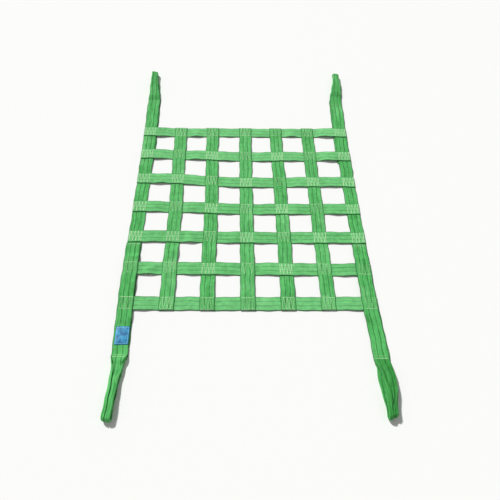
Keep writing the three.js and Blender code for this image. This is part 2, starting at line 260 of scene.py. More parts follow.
STRAP_MAP = "strap"  # across and along the strap as it was cut, in metres
LABEL_MAP = "label"  # across and along the label, in metres
EDGE_DISTANCE = "edge_distance"  # from a point of the label to its edge, in metres
CUT_END = "cut_end"  # 1 at the heat-cut end of a strap
PALE = "pale"  # 1 for the pale thread, 0 for the one that sinks into the webbing
EYE_SHADE_ATTRIBUTE = "soil"  # painted shade on a strap's eyes, as a share of one
TURNED = "turned"  # 1 where a strap's edges are turned in and pressed flat, which takes the painted edge shade off them
TONE = "tone"  # how light a stitch is, or how far a strap has paled
WANDER_WAVES = (70 * MM, 190 * MM)  # lengths of the waves in which woven edges wander
DYE_RUN = 50.0  # length of the roll that the straps are cut from anywhere
LENGTHWISE_TONE, CROSS_TONE, OUTER_TONE = (0.05, 0.17), (0.35, 0.6), 0.0  # how far straps have paled

ROWS = range(1, STRAP_COUNT + 1)
COLUMNS = range(1, STRAP_COUNT + 1)
INNER_COLUMNS = range(2, STRAP_COUNT)
SIDE_COLUMN = {"left": 1, "right": STRAP_COUNT}
OUTWARD = {"far": 1, "near": -1}


def linear(hex_colour):
    """Linear RGBA of an sRGB colour such as #5cb866."""
    channels = [int(hex_colour[k:k + 2], 16) / 255 for k in (1, 3, 5)]
    return [c / 12.92 if c <= 0.04045 else ((c + 0.055) / 1.055) ** 2.4 for c in channels] + [1.0]


def length_setting(name, description, millimetres):
    return FloatProperty(
        name=name, description=description, default=millimetres * MM, min=0.0, unit="LENGTH", precision=4
    )


def colour_setting(name, description, hex_colour):
    return FloatVectorProperty(
        name=name, description=description,
        default=linear(hex_colour), size=4, min=0.0, max=1.0, subtype="COLOR",
    )


def angle_setting(name, description, degrees):
    return FloatProperty(
        name=name, description=description, default=math.radians(degrees), subtype="ANGLE", unit="ROTATION"
    )


class WebbingSettings(bpy.types.PropertyGroup):
    """Sizes and colours of the woven webbing."""

    rib_pitch: length_setting("Rib pitch", "Width of one lengthwise rib of the weave", 6)
    rib_depth: FloatProperty(
        name="Rib depth", description="Share by which the webbing is thinner between two ribs",
        default=0.16, min=0.0, max=1.0, subtype="FACTOR",
    )
    selvedge_radius: length_setting("Selvedge radius", "Rounding of the woven edges", 1.2)
    line_offset: length_setting("Line offset", "From the middle of the strap to each marker line", 10)
    line_width: length_setting("Line width", "Width of a marker line with its soft edges", 4)
    # Width of the painted shade along each woven edge
    edge_shade_width: length_setting("Selvedge width", "Width of the darker woven edge", 4)
    streak_width: length_setting("Streak width", "Width of a lighter or darker band of yarns", 5)
    streak_length: length_setting("Streak length", "Length over which a band keeps its tone", 110)
    mottle_size: length_setting("Mottle size", "Size of the lighter and darker spots", 16)
    patch_size: length_setting("Patch size", "Size of faded and soiled patches", 120)
    weave_pitch: length_setting("Weave pitch", "Length of one over and under of the weave", 4)
    span_bulge: length_setting("Bulge", "How far a strap may bulge between two crossings", 1.6)
    wander: length_setting("Wander", "How far the woven edges wander sideways", 1.6)
    colour: colour_setting("Colour", "Polyester green in the light yarns", "#61c26c")
    shade_colour: colour_setting("Shade colour", "Polyester green in the dark yarns", "#3da04a")
    paled_colour: colour_setting("Paled colour", "Green of the straps that have paled", "#82d28a")
    line_colour: colour_setting("Line colour", "Marker lines woven along the strap", "#0e5a22")
    # Colour of the painted shade along the woven edges
    edge_shade_colour: colour_setting("Selvedge colour", "Woven edges", "#33763f")
    faded_colour: colour_setting("Faded colour", "Sun-bleached patches", "#8fdc92")
    # Dirt of the soiled patches, and the painted shade on the eyes
    dirt_and_shade_colour: colour_setting("Soiled colour", "Patches soiled by use", "#2d8634")
    sealed_colour: colour_setting("Sealed colour", "Heat-cut ends", "#2f7a3c")


class StitchSettings(bpy.types.PropertyGroup):
    """Sizes and colours of the sewing."""

    thread_width: length_setting("Thread width", "Width of a sewn thread", 2.4)
    thread_height: length_setting("Thread height", "How far a thread stands above the webbing", 0.7)
    stitch_length: length_setting("Stitch length", "Length of one stitch", 9)
    stitch_overlap: length_setting("Stitch overlap", "How far a stitch runs into the next", 1.6)
    margin: length_setting("Margin", "From the edge of a crossing to its stitching", 4.5)
    unevenness: length_setting("Unevenness", "How far a corner of the zigzag may stray", 1.5)
    strokes: IntProperty(name="Strokes", description="Strokes in one crossing's zigzag", default=7, min=2)
    pale_colour: colour_setting("Pale colour", "Thread on the cross straps and in the rows", "#c9f9bf")
    deep_colour: colour_setting("Deep colour", "Thread that sinks into the lengthwise straps", "#7dc47c")


class LabelSettings(bpy.types.PropertyGroup):
    """Sizes and colours of the bare label."""

    thickness: length_setting("Thickness", "Thickness of the label", 0.7)
    corner: length_setting("Corner", "Radius of the label's corners", 3)
    frame_inset: length_setting("Frame inset", "From the label's edge to its frame line", 3.4)
    frame_width: length_setting("Frame width", "Width of the frame line with its soft edges", 2.4)
    rub_size: length_setting("Rub size", "Size of the rubbed and the darker patches", 22)
    crease_size: length_setting("Crease size", "Size of the creases", 24)
    crease_depth: length_setting("Crease depth", "Depth of the creases", 1.6)
    bulge: length_setting("Bulge", "How far the label stands off in its middle", 0.5)
    colour: colour_setting("Colour", "Printed blue where it is rubbed", "#3ba2d0")
    deep_colour: colour_setting("Deep colour", "Printed blue where it is fresh", "#0f6493")
    frame_colour: colour_setting("Frame colour", "Frame line", "#7cc0e2")


class StageSettings(bpy.types.PropertyGroup):
    """Floor, light and camera."""

    floor_size: length_setting("Floor size", "Length of the floor's side", 9000)
    floor_colour: colour_setting("Floor colour", "Pale matt floor", "#f7f7f5")
    key_strength: FloatProperty(name="Key strength", description="Strength of the main light", default=3.36)
    key_softness: angle_setting("Key softness", "Angle that the main light covers", 6)
    key_height: angle_setting("Key height", "Height of the main light above the floor", 44)
    key_turn: angle_setting("Key turn", "Main light's turn from straight behind the net to its left", 38)
    sky_strength: FloatProperty(name="Sky strength", description="Strength of the sky's light", default=0.3)
    lens: FloatProperty(name="Lens", description="Focal length of the camera", default=35.03, unit="CAMERA")
    camera_place: FloatVectorProperty(
        name="Camera place", description="Where the camera stands",
        default=(-0.0795, -1.3545, 1.7353), unit="LENGTH",
    )
    camera_tilt: angle_setting("Camera tilt", "How far the camera looks down", 56.82)
    camera_turn: angle_setting("Camera turn", "How far the camera looks to the right", 4.21)
    camera_roll: angle_setting("Camera roll", "How far the camera leans", 3.83)


# Lie of the straps

Knot = namedtuple("Knot", "at value")
Run = namedtuple("Run", "start end layer")
Fold = namedtuple("Fold", "left right angle")
Span = namedtuple("Span", "bulge tilt")
# Each station also carries the painted shade that darkens an eye
Station = namedtuple(
    "Station", "along up fold bulge tilt shift lean crown soil", defaults=(None, 0, 0, 0, 0, 0, 0)
)


def lerp(first, last, share):
    return first + (last - first) * share


def smoothstep(value, low, high):
    share = min(max((value - low) / (high - low), 0.0), 1.0)
    return share * share * (3 - 2 * share)


def lie_at(place, knots):
    """Smooth run through a table's values, level beyond the first and last of them."""
    value = knots[0].value
    for before, after in zip(knots, knots[1:]):
        value += (after.value - before.value) * smoothstep(place, before.at, after.at)
    return value


def knots_through(lie):
    """Knots along a strap for a row of a lie table, from the near or left end on."""
    places = OUTER_PLACES if len(lie) == len(OUTER_PLACES) else INNER_PLACES
    return [Knot(place, value * MM) for place, value in zip(places, lie)]


TIP_PLACE = MESH_EDGE + LEG_LENGTH
OUTER_PLACES = (-TIP_PLACE, -STITCH_ROW, -LIE_SPAN, 0, LIE_SPAN, STITCH_ROW, TIP_PLACE)
INNER_PLACES = (-LIE_SPAN, 0, LIE_SPAN)
COLUMN_KNOTS = [knots_through(lie[::-1]) for lie in (OUTER_LIE["left"], *INNER_LIE, OUTER_LIE["right"])]
ROW_KNOTS = [knots_through(lie) for lie in CROSS_LIE]


def column_x(column):
    return (column - 1) * PITCH - MESH_HALF


def row_y(row):
    return MESH_HALF - (row - 1) * PITCH


def crossing_x(row, column):
    return column_x(column) + lie_at(row_y(row), COLUMN_KNOTS[column - 1])


def crossing_y(row, column):
    return row_y(row) + lie_at(column_x(column), ROW_KNOTS[row - 1])


def layer_height(layer):
    return HALF_THICKNESS + layer * LAYER_STEP


def is_outer(column):
    return column in SIDE_COLUMN.values()


def lengthwise_is_on_top(row, column):
    """Outer straps lie over the rows that their near tails cross, inner ones over the end rows and, between
    them, over and under in turn."""
    if is_outer(column):
        return row > NEAR_TAIL_ROW
    return row in (1, STRAP_COUNT) or (row + column) % 2 == 0


def cross_layer(row, column):
    """Layer of a cross strap: it lies on the outer straps, which the far tails double."""
    if is_outer(column):
        return 2 if row <= FAR_TAIL_ROW else 1
    return 0 if lengthwise_is_on_top(row, column) else 1


def top_layer(row, column):
    """Number of the uppermost layer at a crossing."""
    doubled = is_outer(column) and not FAR_TAIL_ROW < row <= NEAR_TAIL_ROW
    return 2 if doubled else 1


def level_across(middle, layer):
    return Run(middle - LEVEL_REACH, middle + LEVEL_REACH, layer)


def cut_off(runs):
    """Runs of a strap whose ends are level with the outer edges of the straps that it crosses last."""
    first = runs[0]._replace(start=runs[0].start + CROSSING_MARGIN)
    last = runs[-1]._replace(end=runs[-1].end - CROSSING_MARGIN)
    return [first, *runs[1:-1], last]


def evenly(start, end, step):
    """Places from start to end, at most a step apart."""
    steps = max(1, math.ceil(abs(end - start) / step))
    return [lerp(start, end, k / steps) for k in range(steps + 1)]


def lifted_spans(lifts, settings, chance):
    """Free stretches that bulge a little and lift one edge, as webbing does that was rolled up before."""
    return [Span(chance.uniform(0, settings.span_bulge), lift * MM) for lift in lifts]


def stations_through(runs, spans):
    """Centre line of a strap through level runs, with a ramp or a sagging stretch between them."""
    stations = []
    for index, run in enumerate(runs):
        height = layer_height(run.layer)
        stations += [Station(along, height) for along in evenly(run.start, run.end, ROW_STEP)]
        if index == len(spans):
            break
        span, following = spans[index], runs[index + 1]
        dip = SAG if run.layer == following.layer > 0 else 0.0
        for along in evenly(run.end, following.start, ROW_STEP)[1:-1]:
            share = (along - run.end) / (following.start - run.end)
            swell = math.sin(math.pi * share) ** 2
            ramp = lerp(height, layer_height(following.layer), smoothstep(share, 0, 1))
            stations.append(Station(along, ramp - dip * swell, None, span.bulge * swell, span.tilt * swell))
    return stations


# Folded eyes

def section_place(across, fold):
    """Where a point of the strap's width lies in its section: sideways, and up from the folded side."""
    turn_in = fold.right if across > 0 else fold.left
    flat = HALF_WIDTH - turn_in
    beyond = abs(across) - flat
    if beyond <= 0:
        return across, 0.0
    radius = CREASE_WIDTH / fold.angle
    turn = min(beyond, CREASE_WIDTH) / radius
    flap = max(beyond - CREASE_WIDTH, 0.0)
    sideways = flat + radius * math.sin(turn) + flap * math.cos(turn)
    return math.copysign(sideways, across), radius * (math.cos(turn) - 1) - flap * math.sin(turn)


def fold_depth(fold):
    """How far a section reaches from its middle to the side of its turned edges."""
    slope = HALF_THICKNESS * abs(math.cos(fold.angle))
    creases = [HALF_WIDTH - fold.right + CREASE_WIDTH, fold.left - HALF_WIDTH - CREASE_WIDTH]
    places = [-HALF_WIDTH, *creases, HALF_WIDTH]
    return max(HALF_THICKNESS, *(slope - section_place(across, fold)[1] for across in places))


def side_reach(fold):
    """How far a section reaches sideways from its middle."""
    return max(abs(section_place(across, fold)[0]) for across in EYE_COLUMNS)


def fold_at(eye, past, closed):
    """Fold of an eye at a distance past its stitch row, with its edges closed to an angle."""
    taper = smoothstep(past, eye.taper_from * MM, eye.taper_to * MM)
    turned = smoothstep(past, eye.turn_at * MM, eye.turn_at * MM + EDGE_FOLD_RUN)
    return Fold(
        lerp(LEAST_TURN_IN, eye.left * MM, taper),
        lerp(LEAST_TURN_IN, eye.right * MM, taper),
        max(FLAT_ANGLE, closed * turned),
    )


def eye_stations(side, end):
    """Loop of an eye from its root, out along the lower layer, round the tip and back along the upper.
    The edges are turned to the underside of the strap's main run: the inside of a far eye, where they
    are hidden, and the outside of a near one, where the upper layer shows them."""
    eye, stray, soil, outward = EYES[side, end], STRAY[side, end], EYE_SHADE[side, end], OUTWARD[end]
    is_far = outward > 0
    tail_shift = (TAIL_SHIFT[side].far if is_far else TAIL_SHIFT[side].near) * MM
    length = eye.reach * MM - SEWN_LEG
    lean = math.radians(eye.lean)
    tip_fold = fold_at(eye, length, math.pi)
    tip_lift = side_reach(tip_fold) * abs(math.sin(lean))
    outside = HALF_THICKNESS if is_far else fold_depth(tip_fold)
    bend_at = length - (EYE_OPENING + tip_lift) / 2 - outside

    lower, upper = [], []
    for past in evenly(EYE_START, bend_at, TURNING_STEP):
        under = fold_at(eye, past, math.pi)
        pressed = smoothstep(past, bend_at / 2, bend_at)
        over = fold_at(eye, past, lerp(math.radians(eye.closed), math.pi, pressed))
        inside_depth = fold_depth(under) + fold_depth(over) if is_far else 2 * HALF_THICKNESS
        apart = lerp(inside_depth + LAYER_GAP, EYE_OPENING, smoothstep(past, PARTING, bend_at))
        leaning = lean * smoothstep(past, 0, LEAN_RUN)
        lift = side_reach(over) * abs(math.sin(leaning))
        tail_aside = tail_shift * (1 - smoothstep(past, 0, SHIFT_RUN))
        share = smoothstep(past, 0, bend_at)
        strayed = 4 * share * (1 - share) * MM
        crown = outward * eye.crown * MM * smoothstep(past, bend_at - CROWN_RUN, bend_at)
        # The painted shade on the eye grows over its first stretch past the root
        darkened = smoothstep(past, 0, EYE_SHADE_RUN)
        low = Station(
            along=outward * (STITCH_ROW + past),
            up=HALF_THICKNESS if is_far else fold_depth(under),
            fold=under,
            shift=stray.lower * strayed + (tail_aside if is_far else 0.0),
            crown=crown,
            soil=soil.lower * darkened,
        )
        lower.append(low)
        upper.append(
            low._replace(
                up=low.up + apart + lift,
                fold=over,
                shift=stray.upper * strayed + (0.0 if is_far else tail_aside),
                lean=outward * leaning,
                soil=soil.upper * darkened,
            )
        )

    radius = (upper[-1].up - lower[-1].up) / 2
    bend = []
    for k in range(1, BEND_STEPS):
        share = k / BEND_STEPS
        turn = math.pi * (share - 0.5)
        bend.append(
            lower[-1]._replace(
                along=lower[-1].along + outward * radius * math.cos(turn),
                up=lower[-1].up + radius * (1 + math.sin(turn)),
                lean=upper[-1].lean * smoothstep(share, 0, LEAN_SHARE),
                soil=lerp(soil.lower, soil.upper, share),
            )
        )
    return [*lower, *bend, *reversed(upper)]


# Straps

def cloth_lengths(stations):
    """Length of cloth from the start of a strap to each of its stations."""
    points = np.array([(s.along, s.up) for s in stations])
    steps = np.hypot(*np.diff(points, axis=0).T)
    return np.concatenate([[0.0], np.cumsum(steps)])


def rib_thickness(across, settings):
    """Share of the full thickness: the webbing is thinner between two ribs and along the marker lines."""
    wave = 0.5 - 0.5 * math.cos(2 * math.pi * across / settings.rib_pitch)
    line = 1 - smoothstep(abs(abs(across) - settings.line_offset), 0, settings.line_width)
    return 1 - settings.rib_depth * max(wave, line)


def new_object(name, data):
    piece = bpy.data.objects.new(name, data)
    bpy.context.scene.collection.objects.link(piece)
    return piece


def add_modifier(piece, name, kind, **options):
    modifier = piece.modifiers.new(name, kind)
    for option, value in options.items():
        setattr(modifier, option, value)


def mesh_of(bm, name):
    mesh = bpy.data.meshes.new(name)
    bm.to_mesh(mesh)
    bm.free()
    mesh.shade_smooth()
    return mesh


def crease_height(along, across, creases):
    """How far the creases of a strap stand up at a point of it."""
    height = 0.0
    for crease in creases:
        turn = math.radians(crease.turn)
        ahead, aside = along - crease.along * MM, across - crease.across * MM
        on_line = (ahead * math.cos(turn) + aside * math.sin(turn)) / (crease.length * MM)
        off_line = (aside * math.cos(turn) - ahead * math.sin(turn)) / (crease.width * MM)
        height += crease.height * MM * math.exp(-off_line ** 2 - on_line ** 2)
    return height


def sheet_points(stations, knots, columns, creases, settings, chance):
    """Sideways, along and up of each grid point of a strap, row by row."""
    phases = [chance.uniform(0, 2 * math.pi) for _ in WANDER_WAVES]
    for k, (station, length) in enumerate(zip(stations, cloth_lengths(stations))):
        before, after = stations[max(k - 1, 0)], stations[min(k + 1, len(stations) - 1)]
        normal = Vector((after.up - before.up, before.along - after.along)).normalized()
        waves = [math.sin(2 * math.pi * length / wave + phase) for wave, phase in zip(WANDER_WAVES, phases)]
        middle = lie_at(station.along, knots) + station.shift + settings.wander * sum(waves) / len(waves)
        for across in columns:
            sideways, height = section_place(across, station.fold) if station.fold else (across, 0.0)
            sideways, rise = Matrix.Rotation(station.lean, 2) @ Vector((sideways, height))
            place = across / HALF_WIDTH
            lift = station.bulge * (1 - place ** 2) + (abs(station.tilt) + station.tilt * place) / 2
            lift += crease_height(station.along, across, creases)
            along = station.along - station.crown * (sideways / TIP_HALF_WIDTH) ** 2
            yield middle + sideways, along + rise * normal.x, station.up + rise * normal.y + lift


def make_strap(node, stations, knots, columns, tone, to_world, settings, chance):
    """One strap, moved from a flat grid onto its lie, then given its thickness and rounded edges."""
    name = f"webbing_{node}"
    bm = bmesh.new()
    bmesh.ops.create_grid(bm, x_segments=len(columns) - 1, y_segments=len(stations) - 1, size=HALF_WIDTH)
    bm.verts.ensure_lookup_table()
    lengths = cloth_lengths(stations)
    dye_start = chance.uniform(0, DYE_RUN)
    strap_map = bm.loops.layers.uv.new(STRAP_MAP)
    cut_end, strap_tone, soil, turned = map(bm.verts.layers.float.new, (CUT_END, TONE, EYE_SHADE_ATTRIBUTE, TURNED))
    creases = [crease for crease in CREASES if crease.strap == node]
    for vert, point in zip(bm.verts, sheet_points(stations, knots, columns, creases, settings, chance)):
        vert.co = to_world(*point)
        row, column = divmod(vert.index, len(columns))
        station = stations[row]
        vert[cut_end] = float(row in (0, len(stations) - 1))
        vert[strap_tone] = tone
        # Painted shade on the eyes
        vert[soil] = station.soil
        vert[turned] = station.fold.angle / math.pi if station.fold else 0.0
        for loop in vert.link_loops:
            loop[strap_map].uv = columns[column], dye_start + lengths[row]
    strap = new_object(name, mesh_of(bm, name))

    ribs = strap.vertex_groups.new(name="ribs")
    for column, across in enumerate(columns):
        verts = range(column, len(stations) * len(columns), len(columns))
        ribs.add(verts, rib_thickness(across, settings), "REPLACE")
    add_modifier(strap, "Thickness", "SOLIDIFY", thickness=STRAP_THICKNESS, offset=0.0, vertex_group="ribs")
    add_modifier(
        strap, "Selvedge", "BEVEL", width=settings.selvedge_radius, segments=3,
        limit_method="ANGLE", angle_limit=math.radians(60), harden_normals=True,
    )

    strap.data.materials.append(webbing_material(settings))
    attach(strap, "root")
    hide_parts(node)


def lengthwise_place(column):
    return lambda sideways, along, up: (MESH_MIDDLE_X + column_x(column) + sideways, along, up)


def cross_place(row):
    return lambda sideways, along, up: (MESH_MIDDLE_X + along, row_y(row) + sideways, up)


def lengthwise_strap(column, settings):
    """Inner lengthwise strap, cut off level with the outer edges of the first and last rows."""
    chance = random.Random(column)
    layers = {row: int(lengthwise_is_on_top(row, column)) for row in reversed(ROWS)}
    runs = [level_across(crossing_y(row, column), layer) for row, layer in layers.items()]
    spans = lifted_spans(reversed(LENGTHWISE_LIFT[column - 2]), settings, chance)
    stations, knots = stations_through(cut_off(runs), spans), COLUMN_KNOTS[column - 1]
    node, tone = f"lengthwise_strap_{column}", chance.uniform(*LENGTHWISE_TONE)
    to_world = lengthwise_place(column)
    make_strap(node, stations, knots, RIB_COLUMNS, tone, to_world, settings, chance)


def cross_strap(row, settings):
    """Cross strap, cut off level with the outer edges of the outer straps."""
    chance = random.Random(STRAP_COUNT + row)
    runs = [level_across(crossing_x(row, column), cross_layer(row, column)) for column in COLUMNS]
    spans = lifted_spans([-lift for lift in CROSS_LIFT[row - 1]], settings, chance)
    stations, knots = stations_through(cut_off(runs), spans), ROW_KNOTS[row - 1]
    node, tone = f"cross_strap_{row}", chance.uniform(*CROSS_TONE)
    make_strap(node, stations, knots, RIB_COLUMNS, tone, cross_place(row), settings, chance)


def near_tail_end(column):
    return crossing_y(NEAR_TAIL_ROW, column) - HALF_WIDTH - TAIL_CLEARANCE


def outer_strap(side, settings):
    """Outer strap: far tail underneath, far eye, main run, near eye, and near tail on top of two rows."""
    column = SIDE_COLUMN[side]
    chance = random.Random(-column)
    far_tail_end = crossing_y(FAR_TAIL_ROW, column) - HALF_WIDTH - TAIL_PAST_ROW
    leg = STITCH_ROW + LEG_END
    last_row = level_across(crossing_y(STRAP_COUNT, column), 2)
    row_before = level_across(crossing_y(STRAP_COUNT - 1, column), 2)
    far_shift, near_shift = (shift * MM for shift in TAIL_SHIFT[side])
    main_lift, *tail_lifts = OUTER_LIFT[side]
    far_tail = [Run(far_tail_end, leg, 0)]
    main_run = [
        Run(leg, far_tail_end - CROSSING_MARGIN, 1),
        Run(crossing_y(FAR_TAIL_ROW + 1, column) + LEVEL_REACH, -leg, 0),
    ]
    near_tail = [
        Run(-leg, last_row.start - STRAP_WIDTH, 1),
        last_row,
        row_before,
        Run(row_before.end + LEVEL_REACH, near_tail_end(column), 1),
    ]
    tail_spans = lifted_spans(tail_lifts, settings, chance)
    stations = [
        *(station._replace(shift=far_shift) for station in stations_through(far_tail, [])),
        *eye_stations(side, "far"),
        *stations_through(main_run, lifted_spans([main_lift], settings, chance)),
        *eye_stations(side, "near"),
        *(station._replace(shift=near_shift) for station in stations_through(near_tail, tail_spans)),
    ]
    node, knots = f"outer_strap_{side}", COLUMN_KNOTS[column - 1]
    to_world = lengthwise_place(column)
    make_strap(node, stations, knots, EYE_COLUMNS, OUTER_TONE, to_world, settings, chance)


# Thread

Stitch = namedtuple("Stitch", "start end up pale")

STITCH_SIDES, STITCH_RINGS = 5, 4
STITCH_ARCH = 0.6  # how deep a stitch's ends sink, as a share of the thread's height
ROW_OVERLAP = 2 * MM  # how far a root row runs into the turned edges
ROW_SPACING = 9 * MM  # between two straight rows
TAIL_ROW_INSET = 6 * MM  # from a tail's end to its first row

# How pale thread has stayed: on cross straps, in end rows, sunken into inner and outer lengthwise straps, in
# the two rows of a tail's end, and in the second row of an eye's root as a share of the first
SURFACE_PALE, END_ROW_PALE, SUNKEN_PALE, OUTER_PALE = (0.75, 1.0), (0.6, 1.0), (0.1, 0.65), (0.0, 0.15)
TAIL_ROW_PALE = (0.8, 0.3)
SECOND_ROW_SHARE = 1 / 3


def stitched_line(start, end, up, pale, settings):
    """Stitches of even length from one point to another."""
    start, end = Vector(start), Vector(end)
    length = (end - start).length
    count = max(1, round(length / settings.stitch_length))
    lap = settings.stitch_overlap / length / 2
    return [
        Stitch(start.lerp(end, k / count - lap), start.lerp(end, (k + 1) / count + lap), up, pale)
        for k in range(count)
    ]


def stitch_template():
    """Points of one stitch as shares (across, up, along), and its faces: a ball drawn into a blunt arch."""
    bm = bmesh.new()
    bmesh.ops.create_uvsphere(bm, u_segments=STITCH_SIDES, v_segments=STITCH_RINGS, radius=1.0)
    bmesh.ops.triangulate(bm, faces=bm.faces)
    for vert in bm.verts:
        blunt = math.sqrt(1 + vert.co.z ** 2)
        vert.co = vert.co.x * blunt, vert.co.y * blunt - STITCH_ARCH * vert.co.z ** 2, vert.co.z
    points = np.array([vert.co for vert in bm.verts])
    faces = np.array([[vert.index for vert in face.verts] for face in bm.faces])
    bm.free()
    return points, faces


def sew(name, stitches, settings, seed):
    """All stitches of one group as one joined mesh."""
    points, faces = stitch_template()
    chance = np.random.default_rng(seed)
    count = len(stitches)
    starts = np.array([s.start for s in stitches])
    ends = np.array([s.end for s in stitches])
    ups = np.array([(0.0, 0.0, s.up) for s in stitches])
    runs = ends - starts
    sides = np.cross(ups, runs)
    sides /= np.linalg.norm(sides, axis=1, keepdims=True)
    across, up, along = (points[None, :, k, None] for k in range(3))
    places = starts[:, None] + (along + 1) / 2 * runs[:, None]
    places = places + across * settings.thread_width / 2 * sides[:, None]
    places = places + up * settings.thread_height * ups[:, None]
    corners = faces[None] + (np.arange(count) * len(points))[:, None, None]
    mesh = bpy.data.meshes.new(name)
    mesh.from_pydata(places.reshape(-1, 3), [], corners.reshape(-1, 3))
    values = {PALE: [s.pale for s in stitches], TONE: chance.uniform(0, 1, count)}
    for attribute, per_stitch in values.items():
        layer = mesh.attributes.new(attribute, "FLOAT", "POINT")
        layer.data.foreach_set("value", np.repeat(np.asarray(per_stitch, np.float32), len(points)))
    mesh.update()
    mesh.shade_smooth()
    sewing = new_object(name, mesh)
    sewing.data.materials.append(thread_material(settings))
    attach(sewing, "root")


def crossing_stitches(row, column, side, settings, chance):
    """Zigzag over one crossing, on the upper (1) or the under (-1) side.
    It shows pale on a cross strap, between two side rows. It sinks into a lengthwise one, which has pale rows
    at both ends in the first and last rows, at the near end on the right outer strap, and else at the far."""
    reach = HALF_WIDTH - settings.margin
    height = layer_height(top_layer(row, column)) + HALF_THICKNESS if side > 0 else 0.0
    middle = Vector((MESH_MIDDLE_X + crossing_x(row, column), crossing_y(row, column), height))
    sunken = lengthwise_is_on_top(row, column) and side > 0
    if sunken:
        pale = chance.uniform(*(OUTER_PALE if is_outer(column) else SUNKEN_PALE))
    else:
        pale = chance.uniform(*SURFACE_PALE)

    def point(x, y):
        stray = [chance.uniform(-settings.unevenness, settings.unevenness) for _ in range(2)]
        return middle + Vector((x + stray[0], y + stray[1], 0.0))

    corners = []
    for k in range(settings.strokes + 1):
        x = lerp(-reach, reach, k / settings.strokes)
        corners.append(point(x, reach if k % 2 else -reach))
    lines = [(start, end, pale) for start, end in zip(corners, corners[1:])]
    if sunken:
        ends = (reach, -reach) if row in (1, STRAP_COUNT) else (reach,)
        if column == SIDE_COLUMN["right"]:
            ends = (-reach,)
        lines += [(point(-reach, y), point(reach, y), chance.uniform(*END_ROW_PALE)) for y in ends]
    else:
        lines += [(point(x, -reach), point(x, reach), pale) for x in (-reach, reach)]
    return [stitch for line in lines for stitch in stitched_line(*line[:2], side, line[2], settings)]


def row_through(column, along, aside, left, right, heights, pale, settings):
    """Straight row of stitches across a lengthwise strap, on its under and on its upper side."""
    middle = MESH_MIDDLE_X + column_x(column) + lie_at(along, COLUMN_KNOTS[column - 1]) + aside
    stitches = []
    for side, height in zip((-1, 1), heights):
        start, end = (middle - left, along, height), (middle + right, along, height)
        stitches += stitched_line(start, end, side, pale, settings)
    return stitches


def root_row(side, end, past, pale, settings):
    """Row through both layers of an eye at its root, as wide as they are still flat."""
    along = OUTWARD[end] * (STITCH_ROW + past)
    layers = [station for station in eye_stations(side, end) if abs(station.along - along) <= TURNING_STEP]
    lower, upper = min(layers, key=lambda s: s.up), max(layers, key=lambda s: s.up)
    left, right = (HALF_WIDTH - turn_in + ROW_OVERLAP for turn_in in (upper.fold.left, upper.fold.right))
    heights = lower.up - HALF_THICKNESS, upper.up + HALF_THICKNESS
    return row_through(SIDE_COLUMN[side], along, upper.shift, left, right, heights, pale, settings)


def leg_stitches(settings):
    """Rows that close the roots of the eyes and hold down the ends of the near tails."""
    stitches = []
    reach, tail_heights = HALF_WIDTH - settings.margin, (0.0, layer_height(1) + HALF_THICKNESS)
    for (side, end), row in ROOT_ROWS.items():
        stitches += root_row(side, end, row.past * MM, row.pale, settings)
        stitches += root_row(side, end, row.past * MM - ROW_SPACING, row.pale * SECOND_ROW_SHARE, settings)
    for column in SIDE_COLUMN.values():
        for k, pale in enumerate(TAIL_ROW_PALE):
            along = near_tail_end(column) - TAIL_ROW_INSET - k * ROW_SPACING
            stitches += row_through(column, along, 0.0, reach, reach, tail_heights, pale, settings)
    return stitches


# Materials

MIX_FACTOR, MIX_FIRST, MIX_SECOND, MIX_RESULT = 0, 6, 7, 2  # colour sockets of the Mix node
COLOURS = {"data_type": "RGBA"}  # what a Mix node mixes
SOFT = {"interpolation_type": "SMOOTHSTEP"}  # how a Map Range node runs between its ends
NOISE_MIDDLE = {"From Min": 0.3, "From Max": 0.7}  # where most of a noise lies
WAVE_TURN = 2 * math.pi / 20  # scale at which the Wave texture's bands are one unit apart


def add_node(tree, kind, settings=None, links=None, out=0):
    """Adds a node, sets its options and socket values, links its inputs, and returns one of its outputs."""
    node = tree.nodes.new(f"ShaderNode{kind}")
    for name, value in (settings or {}).items():
        if isinstance(name, str) and hasattr(node, name):
            setattr(node, name, value)
        else:
            node.inputs[name].default_value = value
    for name, source in (links or {}).items():
        tree.links.new(source, node.inputs[name])
    return node.outputs[out]


def new_material(name, finish):
    """A material, its tree and the shader that the tree starts with, set to a finish."""
    material = bpy.data.materials.new(name)
    material.use_nodes = True
    shader = material.node_tree.nodes["Principled BSDF"]
    for socket, value in finish.items():
        shader.inputs[socket].default_value = value
    return material, material.node_tree, shader


